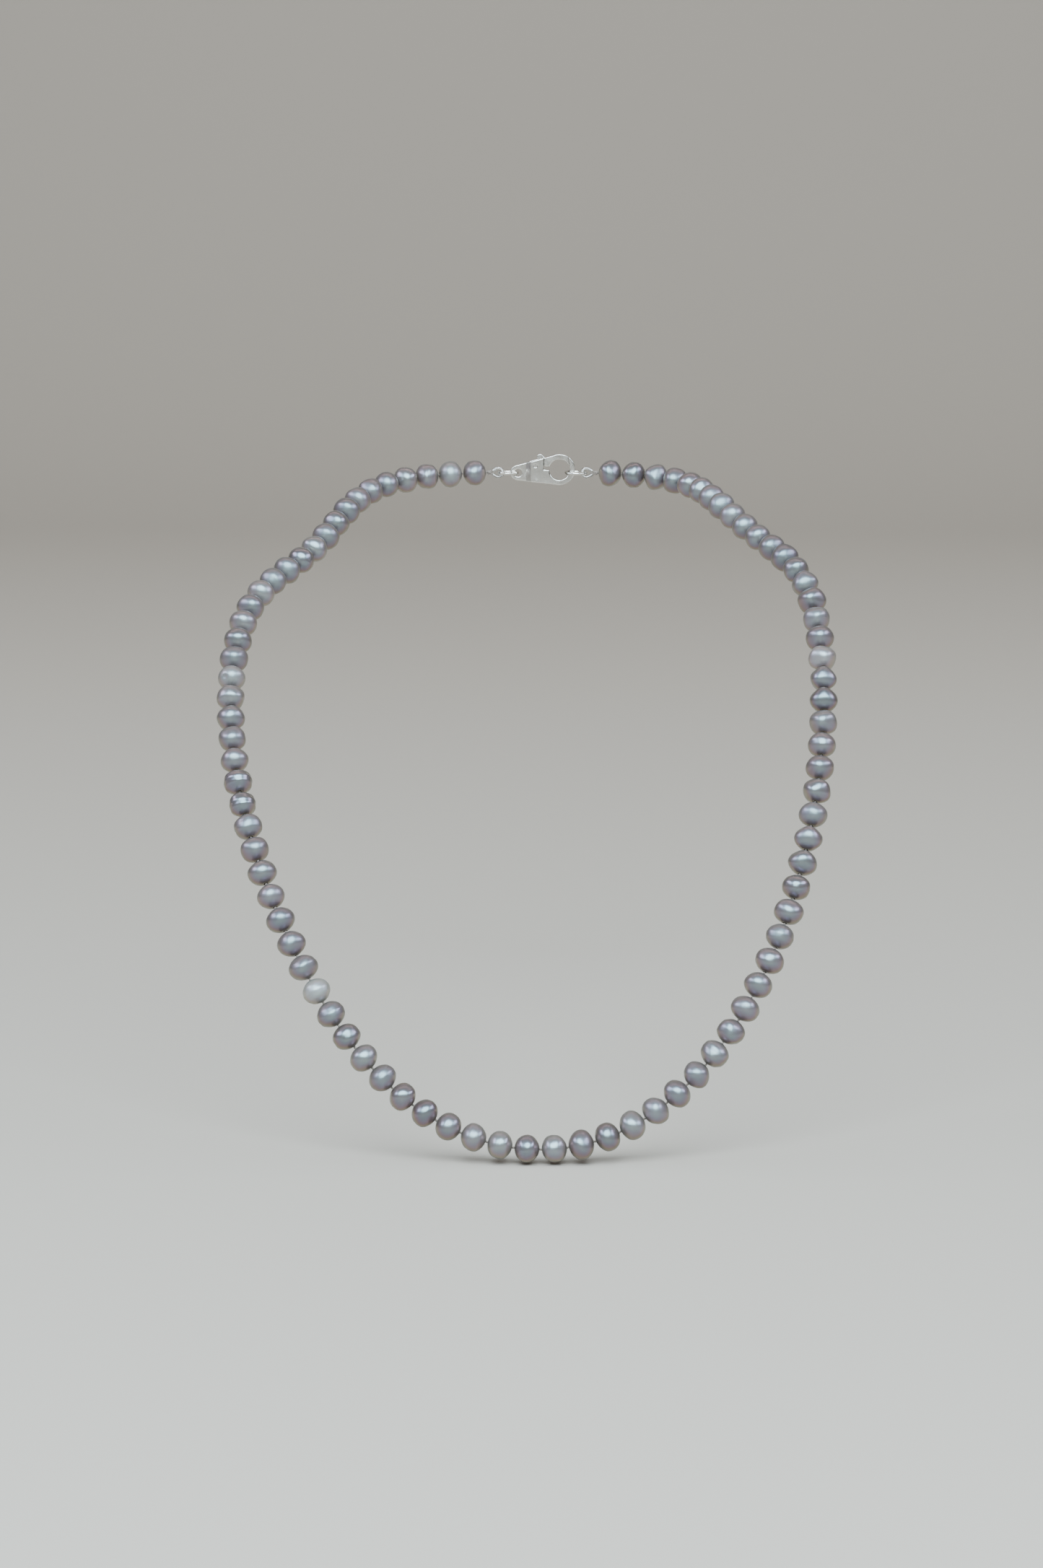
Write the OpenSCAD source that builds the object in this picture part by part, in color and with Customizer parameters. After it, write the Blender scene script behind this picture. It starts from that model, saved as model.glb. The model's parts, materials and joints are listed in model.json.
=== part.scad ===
// Necklace of grey button pearls on silk, in the shape it takes round a wearer's neck.
// All lengths are millimetres. +Z is up and -Y is the front of the wearer.
// The origin is the centre of the wearer's neck at the height of the nape.
// "left" and "right" are as seen by someone who faces the wearer: right is +X.

/* [Pearls] */
// Mean pearl diameter, across the drill hole
pearl_dia = 5.45; // [4:0.05:8]
// Mean pearl thickness, along the drill hole
pearl_thick = 4.68; // [3.5:0.02:8]
// Distance from one pearl's centre to the next along the silk
pitch = 5.0; // [4:0.05:9]
// Diameter of the hole drilled through each pearl
drill_dia = 0.8; // [0.6:0.05:1.2]
// How much the diameters differ from the mean, as a fraction
dia_spread = 0.035; // [0:0.005:0.06]
// How much the thicknesses differ from the mean, as a fraction
thick_spread = 0.015; // [0:0.005:0.03]
// Pearls on each side of the middle one
side_count = 43; // [30:1:60]
// Pearls in the front group, on each side of the middle one
front_side = 8; // [6:1:12]
// Number of groups between the front and the nape
bands = 15; // [10:1:15]
// Pearls on each side of one group
band_pearls = 2; // [2:1:3]

/* [Silk and end loops] */
// Diameter of the silk thread
silk_dia = 0.5; // [0.3:0.05:0.6]
// Diameter of the knot beside each end pearl
knot_dia = 1.0; // [0.8:0.05:1.4]
// Outside diameter of the coiled wire that covers each end loop
gimp_dia = 0.76; // [0.6:0.02:1]
// Inside diameter of that coiled wire
gimp_bore = 0.46; // [0.3:0.02:0.6]
// Radius of the end loop, to the middle of the wire
loop_r = 0.9; // [0.7:0.05:1.5]
// Distance from the end pearl to the far side of the end loop
loop_reach = 3.22; // [2.5:0.02:5]

/* [Clasp] */
// Radius of the claw's outside
claw_r = 3.1; // [2.5:0.1:4]
// Radius of the space inside the claw
claw_hole_r = 2.1; // [1.5:0.1:3]
// Height of the claw's centre above the line of the silk
claw_rise = 0.7; // [0:0.1:1.5]
// Thickness of the clasp at its middle
clasp_thick = 2.6; // [2:0.1:3.5]
// Outside radius of the eye at the clasp's tail
eye_r = 1.55; // [1.3:0.05:2]
// Radius of the hole in the eye
eye_hole_r = 0.8; // [0.6:0.05:1.2]
// Wire diameter of the ring in the eye
jump_wire = 0.7; // [0.5:0.05:1]
// Radius of the ring in the eye, to the middle of its wire
jump_r = 1.85; // [1.5:0.05:3]
// Wire diameter of the ring that the claw holds
end_wire = 0.7; // [0.5:0.05:1.2]
// Radius of the ring that the claw holds, to the middle of its wire
end_r = 2.0; // [1.6:0.05:3]
// Radius of the lever's pin
pin_r = 0.35; // [0.25:0.05:0.5]
// Gap round the lever and its pin
lever_gap = 0.1; // [0.05:0.01:0.15]

/* [Drape] */
// Points that pull the strand into shape: lowest point at the front
front_low = [0, -78.5, -109];
// Right side: beside the lowest point
right_low = [25.5, -77.5, -101.5];
// Right side: on the chest
right_chest = [46.5, -71, -73.5];
// Right side: below the collar bone
right_wide = [56, -45.5, -36];
// Right side: over the collar bone
right_collar = [54, -14.5, -8];
// Right side: at the side of the neck
right_neck = [43.5, 1, -4.5];
// Right side: behind the side of the neck
right_turn = [34.5, 16, 3];
// Right side: at the nape
right_nape = [28, 37.5, 5];
// Middle of the nape
nape = [0, 41, 5.5];
// Left side: beside the lowest point
left_low = [-25.5, -78, -98];
// Left side: on the chest
left_chest = [-45.5, -72, -68.5];
// Left side: below the collar bone
left_wide = [-58, -45.5, -36.5];
// Left side: over the collar bone
left_collar = [-57, -14, -12];
// Left side: at the side of the neck
left_neck = [-43, 3.5, -8];
// Left side: behind the side of the neck
left_turn = [-37.5, 20.5, 2.5];
// Left side: at the nape
left_nape = [-27, 37.5, 5];

/* [Hidden] */
$fn = 48;
steps = 40;
half_a = pearl_dia / 2;
half_b = pearl_thick / 2;
band_len = band_pearls * pitch;
front_end = (front_side + 0.5) * pitch;
nape_start = front_end + bands * band_len;
mouth_s = (side_count + 0.5) * pitch;
first_nape = front_side + bands * band_pearls + 1;
dia_noise = rands(-1, 1, 2 * side_count + 1, 11);
thick_noise = rands(-1, 1, 2 * side_count + 1, 12);

guide = [
    front_low, right_low, right_chest, right_wide, right_collar, right_neck, right_turn, right_nape,
    nape,
    left_nape, left_turn, left_neck, left_collar, left_wide, left_chest, left_low
];

// The strand is a closed smooth curve (a uniform cubic B-spline) pulled by the guide points.
function guide_at(i) = guide[(i + len(guide)) % len(guide)];
function blend(a, b, c, d, t) =
    (pow(1 - t, 3) * a + (3 * pow(t, 3) - 6 * t * t + 4) * b
        + (-3 * pow(t, 3) + 3 * t * t + 3 * t + 1) * c + pow(t, 3) * d) / 6;
path = [
    for (i = [0:len(guide) - 1], j = [0:steps - 1])
        blend(guide_at(i - 1), guide_at(i), guide_at(i + 1), guide_at(i + 2), j / steps),
    blend(guide_at(-1), guide_at(0), guide_at(1), guide_at(2), 0)
];
// Running length at each point of the curve, then tables of x, y and z against that length.
run = [
    for (i = 0, s = 0; i < len(path); s = s + norm(path[min(i + 1, len(path) - 1)] - path[i]), i = i + 1) s
];
total = run[len(run) - 1];
table_x = [for (i = [0:len(path) - 1]) [run[i], path[i].x]];
table_y = [for (i = [0:len(path) - 1]) [run[i], path[i].y]];
table_z = [for (i = [0:len(path) - 1]) [run[i], path[i].z]];
// A point on the strand, s mm along it from the front: plus to the right, minus to the left.
function wrap(s) = s < 0 ? s + total : s;
function strand(s) = [lookup(wrap(s), table_x), lookup(wrap(s), table_y), lookup(wrap(s), table_z)];

// The clasp lies on the straight line between the two end pearls' mouths.
mouth_left = strand(-mouth_s);
mouth_right = strand(mouth_s);
span = norm(mouth_right - mouth_left);
// Each link hooks the next with a small gap, counted from the left mouth.
jump_u = loop_reach - gimp_dia / 2 + jump_r - jump_wire / 2 - 0.08;
eye_u = jump_u + 2.1;
end_u = span - loop_reach + gimp_dia / 2 - end_r + end_wire / 2 + 0.05;
claw_u = end_u - 0.2 - claw_r;
gate_u = claw_u - 3.26;
pivot = [gate_u - 1.6, 1.5];
latch_r = 6.9;

// ---------- placing ----------

// Puts its child at p with the child's Z along d.
module aim(p, d) {
    translate(p)
        rotate([0, acos(d.z / norm(d)), atan2(d.y, d.x)])
            children();
}

// Puts its child halfway from a to b with the child's Z along the line.
module along(a, b) {
    aim((a + b) / 2, b - a)
        children();
}

// Clasp frame: X from the left mouth to the right one, Z up, Y away from the neck.
module at_clasp() {
    d = mouth_right - mouth_left;
    translate(mouth_left)
        rotate([0, -asin(d.z / norm(d)), atan2(d.y, d.x)])
            children();
}

// Turns an X-Z outline drawn as a flat shape into a slab of thickness t.
module slab(t) {
    rotate([90, 0, 0])
        linear_extrude(t, center = true)
            children();
}

// ---------- pearls ----------

// Half outline of a button pearl: a round rim between two flatter ends, all tangent arcs.
module pearl_outline(a, b) {
    end_arc = a * 1.2;
    rim = (2 * end_arc * b - a * a - b * b) / (2 * (end_arc - a));
    meet = end_arc * (a - rim) / (end_arc - rim);
    intersection() {
        translate([0, -2 * a])
            square([2 * a, 4 * a]);
        union() {
            intersection() {
                translate([0, b - end_arc])
                    circle(end_arc);
                translate([0, end_arc - b])
                    circle(end_arc);
                translate([-meet, -b])
                    square([2 * meet, 2 * b]);
            }
            translate([a - rim, 0])
                circle(rim);
        }
    }
}

module pearl(a, b) {
    difference() {
        rotate_extrude()
            pearl_outline(a, b);
        cylinder(h = 4 * b, d = drill_dia, center = true);
    }
}

// Pearls from number first to number last; the middle one at the front is 0.
module pearls(first, last) {
    color([0.54, 0.53, 0.54])
        for (k = [first:last])
            along(strand((k - 0.5) * pitch), strand((k + 0.5) * pitch))
                pearl(
                    half_a * (1 + dia_spread * dia_noise[k + side_count]),
                    half_b * (1 + thick_spread * thick_noise[k + side_count])
                );
}

// ---------- silk ----------

// Silk through pearls first to last, straight in each pearl with a small swelling at each bend.
module silk(first, last) {
    for (k = [first:last]) {
        a = strand((k - 0.5) * pitch);
        b = strand((k + 0.5) * pitch);
        along(a, b)
            cylinder(h = norm(b - a) - 0.08, d = silk_dia, center = true);
    }
    if (last > first)
        for (k = [first:last - 1])
            aim(strand((k + 0.5) * pitch), strand((k + 1.5) * pitch) - strand((k - 0.5) * pitch))
                sphere(d = silk_dia * 1.2);
}

// One drop-shaped end loop from the knot at x = 0.38, drawn as a round bar of diameter d.
module end_loop(d) {
    start = 0.6;
    centre = loop_reach - loop_r;
    away = centre - start;
    half_open = acos(loop_r / away);
    leg = sqrt(away * away - loop_r * loop_r);
    translate([centre, 0, 0])
        rotate([90, 0, 0])
            rotate([0, 0, half_open - 180])
                rotate_extrude(angle = 360 - 2 * half_open)
                    translate([loop_r, 0])
                        circle(d = d);
    for (side = [-1, 1])
        translate([start, 0, 0])
            rotate([0, 90 - side * (90 - half_open), 0])
                cylinder(h = leg, d = d);
}

module end_silk() {
    aim([0.38, 0, 0], [1, 0, 0])
        sphere(d = knot_dia);
    end_loop(gimp_bore - 0.06);
}

module thread_nape_left() {
    color([0.80, 0.79, 0.77])
        union() {
            silk(-side_count, -first_nape);
            at_clasp()
                end_silk();
        }
}

module thread_nape_right() {
    color([0.80, 0.79, 0.77])
        union() {
            silk(first_nape, side_count);
            at_clasp()
                translate([span, 0, 0])
                    rotate([0, 0, 180])
                        end_silk();
        }
}

module thread(i) {
    s = first_nape - i * band_pearls;
    color([0.80, 0.79, 0.77]) {
        silk(-s - band_pearls + 1, -s);
        silk(s, s + band_pearls - 1);
    }
}

module thread_front() {
    color([0.80, 0.79, 0.77])
        silk(-front_side, front_side);
}

// ---------- end loops' wire sleeves ----------

module gimp() {
    color([0.78, 0.78, 0.79])
        difference() {
            end_loop(gimp_dia);
            end_loop(gimp_bore);
            translate([0.38, 0, 0])
                sphere(d = knot_dia + 0.06);
            translate([-2, -2, -2])
                cube([2.6, 4, 4]);
        }
}

// ---------- rings ----------

module ring(u, r, wire) {
    color([0.82, 0.82, 0.83])
        translate([u, 0, 0])
            rotate_extrude()
                translate([r, 0])
                    circle(d = wire);
}

// ---------- clasp ----------

// A slab of thickness t: two discs and the straight-sided web between them,
// drawn a hair inside their common tangents.
module taper(t, c1, r1, c2, r2) {
    in = 0.985;
    d = norm(c2 - c1);
    base = atan2(c2.y - c1.y, c2.x - c1.x);
    lean = asin((r2 - r1) / d);
    up = base + 90 + lean;
    down = base - 90 - lean;
    slab(t)
        translate(c1)
            circle(r1);
    slab(t)
        translate(c2)
            circle(r2);
    slab(t)
        polygon([
            c1 + in * r1 * [cos(up), sin(up)], c2 + in * r2 * [cos(up), sin(up)],
            c2 + in * r2 * [cos(down), sin(down)], c1 + in * r1 * [cos(down), sin(down)]
        ]);
}

// The whole clasp's outline as a slab, with the space inside its claw.
module claw(t) {
    difference() {
        taper(t, [eye_u, 0], eye_r, [claw_u, claw_rise], claw_r);
        slab(t + 1)
            translate([claw_u, claw_rise])
                circle(claw_hole_r);
    }
}

// Limits the thickness: thin at the eye, full at the pin, narrower at the nose.
module side_profile() {
    linear_extrude(14, center = true)
        polygon([
            [eye_u - 2, -0.6], [eye_u + 1.6, -0.6], [eye_u + 2.6, -clasp_thick / 2],
            [claw_u, -clasp_thick / 2], [claw_u + 2, -0.8], [claw_u + 4, -0.6],
            [claw_u + 4, 0.6], [claw_u + 2, 0.8], [claw_u, clasp_thick / 2],
            [eye_u + 2.6, clasp_thick / 2], [eye_u + 1.6, 0.6], [eye_u - 2, 0.6]
        ]);
}

module clasp_body() {
    color([0.80, 0.80, 0.81])
        difference() {
            intersection() {
                claw(clasp_thick);
                side_profile();
            }
            // hole in the eye
            slab(10)
                translate([eye_u, 0])
                    circle(eye_hole_r);
            // mouth that the lever closes
            slab(10)
                intersection() {
                    translate(pivot)
                        circle(latch_r);
                    translate([gate_u, 0.6])
                        square([8, 8]);
                }
            // slot for the lever's root and the spring
            translate([pivot.x - 1.2, -0.55 - lever_gap, 0.3])
                cube([3.4, 1.1 + 2 * lever_gap, 6]);
            // hole for the pin
            slab(10)
                translate(pivot)
                    circle(pin_r);
        }
}

module clasp_lever() {
    color([0.80, 0.80, 0.81])
        difference() {
            union() {
                // outer arm, the part of the claw's wall between the pin and the nose
                intersection() {
                    claw(2);
                    slab(3)
                        translate(pivot)
                            circle(latch_r - lever_gap);
                    slab(3)
                        translate([gate_u + 0.15, 1.35])
                            square([8, 8]);
                    side_profile();
                }
                // root between the cheeks
                taper(1.1, pivot, 0.85, [pivot.x + 2.3, 2.55], 0.7);
                // thumb tab
                taper(1.1, [pivot.x + 0.9, 3.2], 0.6, [pivot.x + 1.6, 2.5], 0.6);
            }
            // hole for the pin
            slab(10)
                translate(pivot)
                    circle(pin_r + 0.05);
            // clearance above the held ring
            translate([claw_u, -5, 0])
                cube([8, 10, 1.75]);
        }
}

module lever_pin() {
    color([0.78, 0.78, 0.79])
        slab(clasp_thick)
            translate(pivot)
                circle(pin_r);
}

// Short spring that pushes the lever shut, as touching turns of wire.
module lever_spring() {
    color([0.62, 0.62, 0.63])
        for (i = [0:2])
            translate([pivot.x + 1.1, 0, 0.41 + 0.19 * i])
                rotate_extrude()
                    translate([0.35, 0])
                        circle(d = 0.2);
}

at_clasp() clasp_body();
at_clasp() clasp_lever();
at_clasp() lever_pin();
at_clasp() lever_spring();
at_clasp() ring(jump_u, jump_r, jump_wire);  // clasp_jump_ring
at_clasp() ring(end_u, end_r, end_wire);  // end_ring
at_clasp() gimp();  // gimp_left
at_clasp() translate([span, 0, 0]) rotate([0, 0, 180]) gimp();  // gimp_right
pearls(-side_count, -first_nape);  // pearls_nape_left
pearls(first_nape, side_count);  // pearls_nape_right
thread_nape_left();
thread_nape_right();
for (i = [1:bands]) {
    inner = first_nape - i * band_pearls;
    pearls(-inner - band_pearls + 1, -inner);
    pearls(inner, inner + band_pearls - 1);
    thread(i);
}
pearls(-front_side, front_side);  // pearls_front
thread_front();
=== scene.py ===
# %% [markdown]
# # A strand of grey button pearls
# A necklace of freshwater pearls on silk, shut by a small silver claw clasp.
# The lesson builds the looks on top of a measured model: the model says where each
# pearl, thread and link sits, and every cell below makes one of them look real.
# Everything is in metres, with +Z up and the front of the necklace towards -Y.

# %% Load the measured model
import json
import math
import random

import bmesh
import bpy
import numpy as np
from mathutils import Matrix, Vector


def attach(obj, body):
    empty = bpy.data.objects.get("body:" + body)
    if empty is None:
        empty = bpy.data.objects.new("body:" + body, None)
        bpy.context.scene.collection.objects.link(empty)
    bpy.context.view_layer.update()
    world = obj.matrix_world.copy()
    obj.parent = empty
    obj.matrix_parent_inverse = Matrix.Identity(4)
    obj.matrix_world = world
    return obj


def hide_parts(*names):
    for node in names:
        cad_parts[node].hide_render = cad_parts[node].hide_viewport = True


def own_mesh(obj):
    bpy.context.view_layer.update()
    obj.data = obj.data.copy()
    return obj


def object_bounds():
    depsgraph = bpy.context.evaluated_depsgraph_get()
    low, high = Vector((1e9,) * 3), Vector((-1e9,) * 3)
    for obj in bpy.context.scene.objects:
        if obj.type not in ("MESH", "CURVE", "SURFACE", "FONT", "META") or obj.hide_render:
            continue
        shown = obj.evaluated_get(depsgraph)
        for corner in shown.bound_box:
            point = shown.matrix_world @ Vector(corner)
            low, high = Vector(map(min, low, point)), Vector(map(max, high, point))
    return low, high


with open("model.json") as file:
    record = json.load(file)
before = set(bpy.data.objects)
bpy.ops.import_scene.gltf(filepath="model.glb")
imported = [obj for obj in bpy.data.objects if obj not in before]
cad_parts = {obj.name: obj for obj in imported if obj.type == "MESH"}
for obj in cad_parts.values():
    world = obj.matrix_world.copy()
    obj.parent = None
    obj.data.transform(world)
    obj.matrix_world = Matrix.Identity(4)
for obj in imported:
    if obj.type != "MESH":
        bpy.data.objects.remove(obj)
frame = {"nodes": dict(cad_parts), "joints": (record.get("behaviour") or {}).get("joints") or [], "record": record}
CAD_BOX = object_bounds()
MM = 0.001
print("model box:", [[round(v, 4) for v in corner] for corner in CAD_BOX])

# %% [markdown]
# ## Small helpers
# Colours are picked as sRGB hex values, because that is what a colour chart gives.
# Shaders work in linear light, so one function turns one into the other.
# A second function adds a node to any tree, sets it up and wires its inputs.

# %% Colour and node helpers
def paint(hex_code):
    """Linear colour, with alpha 1, from an sRGB hex value such as "#8C8A8D"."""
    parts = [int(hex_code[i:i + 2], 16) / 255 for i in (1, 3, 5)]
    return [p / 12.92 if p <= 0.04045 else ((p + 0.055) / 1.055) ** 2.4 for p in parts] + [1.0]


def add(tree, kind, settings=None, inputs=None):
    """Adds a node; settings are its properties, inputs are values or outputs to link."""
    node = tree.nodes.new(kind)
    for name, value in (settings or {}).items():
        setattr(node, name, value)
    for key, value in (inputs or {}).items():
        if isinstance(value, bpy.types.NodeSocket):
            tree.links.new(value, node.inputs[key])
        else:
            node.inputs[key].default_value = value
    return node


print("silver grey:", [round(v, 3) for v in paint("#8C8A8D")])

# %% [markdown]
# ## Where the camera stands
# The necklace is seen from the front and a little above, from just under a metre,
# through a long lens, so that near and far pearls keep almost the same size.
# The camera comes first because it decides how fine each detail has to be.

# %% Camera
def aim_camera():
    """Places the camera on a line through the middle of the loop."""
    turn, tilt, distance = math.radians(-1.44), math.radians(9.75), 0.9
    centre = Vector((-0.00145, -0.060, -0.04155))
    ahead = Vector((math.sin(turn) * math.cos(tilt), math.cos(turn) * math.cos(tilt), -math.sin(tilt)))
    lens = bpy.data.cameras.new("camera")
    lens.sensor_fit = "HORIZONTAL"
    lens.sensor_width = 36.0
    lens.lens = 169.2
    camera = bpy.data.objects.new("camera", lens)
    camera.location = centre - ahead * distance
    camera.rotation_euler = ahead.to_track_quat("-Z", "Y").to_euler()
    bpy.context.collection.objects.link(camera)
    bpy.context.scene.camera = camera
    return camera


camera = aim_camera()
print("camera at", [round(v, 3) for v in camera.location])

# %% [markdown]
# ## Measuring each pearl
# The model stores the pearls of one group as one mesh of loose triangles.
# Merging a copy's doubles joins each pearl into one island, and an island gives the
# pearl's centre, its drill line, its radius and its half thickness.
# The drill line is the direction in which the surface spreads least.

# %% Islands of a model mesh
def islands(node):
    """Splits a copy of a model node into its separate solids."""
    work = bmesh.new()
    work.from_mesh(frame["nodes"][node].data)
    bmesh.ops.remove_doubles(work, verts=work.verts, dist=2e-7)
    seen, found = set(), []
    for start in work.verts:
        if start in seen:
            continue
        seen.add(start)
        stack, island = [start], []
        while stack:
            vert = stack.pop()
            island.append(vert)
            for edge in vert.link_edges:
                other = edge.other_vert(vert)
                if other not in seen:
                    seen.add(other)
                    stack.append(other)
        faces = {face for vert in island for face in vert.link_faces}
        found.append((
            np.array([v.co[:] for v in island]),
            np.array([f.calc_center_median()[:] for f in faces]),
            np.array([f.calc_area() for f in faces]),
        ))
    work.free()
    return found


def measure(points, centres, areas):
    """Centre, drill direction, radius and half thickness of one pearl."""
    middle = (centres * areas[:, None]).sum(0) / areas.sum()
    spread = ((centres - middle) * areas[:, None]).T @ (centres - middle)
    axis = np.linalg.eigh(spread)[1][:, 0]
    along = (points - middle) @ axis
    across = np.linalg.norm(points - middle - np.outer(along, axis), axis=1)
    return Vector(middle), Vector(axis), float(across.max()), float(abs(along).max())


# %% [markdown]
# ## Numbering the strand
# The pearls are numbered from the one at the bottom of the loop: minus to the left,
# plus to the right. The number seeds each pearl's own look, so a pearl stays the
# same whichever group it is in.

# %% List of pearls
def strand_number(node, order, count):
    """Number of the pearl that is number `order` from the front end of its group."""
    if node == "pearls_front":
        return order - count // 2
    side = -1 if "left" in node else 1
    inner = 39 if "nape" in node else 39 - 2 * int(node.rsplit("_", 1)[1])
    return side * (inner + order)


PEARLS = {}
for node in sorted(n for n in frame["nodes"] if n.startswith("pearls")):
    measured = [measure(*part) for part in islands(node)]
    measured.sort(key=(lambda m: m[0].x) if node == "pearls_front" else (lambda m: m[0].y))
    for order, (centre, axis, radius, half) in enumerate(measured):
        number = strand_number(node, order, len(measured))
        PEARLS[number] = dict(node=node, centre=centre, axis=axis, radius=radius, half=half)
for number, pearl in PEARLS.items():
    ahead = PEARLS.get(number + 1, pearl)["centre"] - PEARLS.get(number - 1, pearl)["centre"]
    if pearl["axis"].dot(ahead) < 0:
        pearl["axis"] = -pearl["axis"]
print(len(PEARLS), "pearls, mean diameter",
      round(2000 * sum(p["radius"] for p in PEARLS.values()) / len(PEARLS), 2), "mm")

# %% [markdown]
# ## The shape of a pearl
# A button pearl is a slightly squashed ball, drilled through the short way.
# One clean lathed shape, with its drill hole, is the pattern for all of them: the
# rows of faces run round the hole, as the layers of nacre do.

# %% Lathed pearl with its drill hole
def pearl_pattern(rows=26, columns=40, hole=0.147):
    """A unit pearl: radius 1 across, 1 along Z, with a hole of radius `hole`."""
    lip = math.asin(hole)
    profile = []
    for i in range(rows + 1):
        angle = -math.pi / 2 + lip + (math.pi - 2 * lip) * i / rows
        profile.append((math.cos(angle), math.sin(angle)))
    inside = [(hole * 0.97, z) for z in (0.93, 0.45, 0.0, -0.45, -0.93)]
    loop = profile + inside
    verts = [
        (r * math.cos(2 * math.pi * c / columns), r * math.sin(2 * math.pi * c / columns), z)
        for r, z in loop for c in range(columns)
    ]
    faces = []
    for i in range(len(loop)):
        for c in range(columns):
            a, b = i * columns + c, i * columns + (c + 1) % columns
            d, e = ((i + 1) % len(loop)) * columns + c, ((i + 1) % len(loop)) * columns + (c + 1) % columns
            faces.append((a, b, e, d))
    mesh = bpy.data.meshes.new("pearl_pattern")
    mesh.from_pydata(verts, [], faces)
    rest = mesh.attributes.new("rest", "FLOAT_VECTOR", "POINT")
    rest.data.foreach_set("vector", np.array(verts, dtype=np.float32).ravel())
    return bpy.data.objects.new("pearl_pattern", mesh)


PATTERN = pearl_pattern()
print("pearl pattern:", len(PATTERN.data.polygons), "faces")

# %% [markdown]
# ## Nacre
# Nacre is thousands of see-through layers over each other. Light goes a little way
# in, scatters and comes back softened, and thin-film interference tints the shine
# pink, green or blue. The finish here is a satin one: a strong, wide, soft highlight
# over a quiet grey body. Subsurface scattering gives the depth, a partly metallic
# base gives the silvery body, and a coat gives the last polish.

# %% Nacre material
def nacre_material():
    """Silver-grey nacre whose tone, tint and polish follow each pearl's own values."""
    mat = bpy.data.materials.new("nacre_silver_grey")
    mat.use_nodes = True
    tree = mat.node_tree
    tree.nodes.clear()
    tone = add(tree, "ShaderNodeAttribute", {"attribute_name": "tone"})
    tint = add(tree, "ShaderNodeAttribute", {"attribute_name": "tint"})
    polish = add(tree, "ShaderNodeAttribute", {"attribute_name": "polish"})
    place = add(tree, "ShaderNodeTexCoord")
    # body colour from deep grey to pale cream white, one step per pearl
    body = add(tree, "ShaderNodeValToRGB", inputs={"Fac": tone.outputs["Fac"]})
    steps = body.color_ramp.elements
    steps[0].position, steps[0].color = 0.0, paint("#5C5352")
    steps[1].position, steps[1].color = 1.0, paint("#BFBBB2")
    middle = steps.new(0.5)
    middle.color = paint("#7A706E")
    # cloudy patches about 3 mm across, where the layers are thicker
    cloud = add(tree, "ShaderNodeTexNoise", {"noise_dimensions": "3D"},
                {"Vector": place.outputs["Object"], "Scale": 330.0, "Detail": 2.0, "Roughness": 0.5})
    hue = add(tree, "ShaderNodeMath", {"operation": "ADD"},
              {0: tint.outputs["Fac"], 1: cloud.outputs["Fac"]})
    orient = add(tree, "ShaderNodeValToRGB", inputs={"Fac": hue.outputs[0]})
    bands = orient.color_ramp.elements
    bands[0].position, bands[0].color = 0.30, paint("#8A7E84")
    bands[1].position, bands[1].color = 1.0, paint("#788388")
    for spot, code in ((0.5, "#7F7F80"), (0.68, "#788280"), (0.84, "#7C7B88")):
        bands.new(spot).color = paint(code)
    tinted = add(tree, "ShaderNodeMix", {"data_type": "RGBA", "blend_type": "OVERLAY"},
                 {0: 0.5, 6: body.outputs["Color"], 7: orient.outputs["Color"]})
    rough = add(tree, "ShaderNodeMapRange", inputs={
        "Value": polish.outputs["Fac"], "To Min": 0.48, "To Max": 0.25})
    # growth lines, finer than a hair: they only soften the edge of the highlight
    grain = add(tree, "ShaderNodeTexNoise", {"noise_dimensions": "3D"},
                {"Vector": place.outputs["Object"], "Scale": 2600.0, "Detail": 3.0, "Roughness": 0.6})
    bump = add(tree, "ShaderNodeBump", inputs={
        "Strength": 0.12, "Distance": 0.00002, "Height": grain.outputs["Fac"]})
    skin = add(tree, "ShaderNodeBsdfPrincipled", inputs={
        "Base Color": tinted.outputs[2], "Roughness": rough.outputs[0], "Normal": bump.outputs["Normal"],
        "Metallic": 0.4, "IOR": 2.4, "Subsurface Weight": 0.3, "Subsurface Scale": 0.0012,
        "Coat Weight": 0.35, "Coat Roughness": 0.2, "Coat IOR": 1.6,
        "Thin Film Thickness": 425.0, "Thin Film IOR": 1.17})
    skin.inputs["Subsurface Radius"].default_value = (1.0, 0.8, 0.7)
    add(tree, "ShaderNodeOutputMaterial", inputs={"Surface": skin.outputs["BSDF"]})
    return mat


NACRE = nacre_material()
print("material:", NACRE.name)

# %% [markdown]
# ## Each pearl's own character
# No two pearls match. Seeded random values give each its tone, tint and polish, how
# uneven it is, and a faint trough round its waist, which splits the highlight in two.
# A few pearls are set one by one: a pale matt one, a pale one with a small round pit, two
# glossy ones with growth rings, a tinted one and one a little paler than the rest.

# %% Character of each pearl
def character(number):
    """The look of one pearl, the same each time for the same number."""
    dice = random.Random(1000 + number)
    look = dict(
        seed=dice.uniform(0, 60),
        tone=min(0.7, max(0.2, dice.gauss(0.45, 0.08))),
        tint=dice.uniform(-0.16, 0.3),
        polish=min(1.0, max(0.2, dice.gauss(0.62, 0.16))),
        lumps=dice.uniform(0.5, 1.3),
        trough=max(0.0, dice.gauss(0.35, 0.5)),
        wave=dice.uniform(0.4, 1.8) * (1.6 if number > 14 else 1.0),
        rings=max(0.0, dice.uniform(-0.6, 0.8)),
        pit=0.0,
    )
    if number == -10:
        look.update(tone=0.78, tint=0.2, polish=0.2, trough=0.0, lumps=0.5)
    if number == -24:
        look.update(tone=0.62, tint=0.05, polish=0.35, wave=0.2, rings=0.0, pit=1.0)
    if number in (-19, -18):
        look.update(rings=1.3, polish=0.9, tone=0.36)
    if number == 0:
        look.update(tint=0.35, polish=0.95)
    if number == 25:
        look.update(tone=0.64, polish=0.5)
    return look


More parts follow.
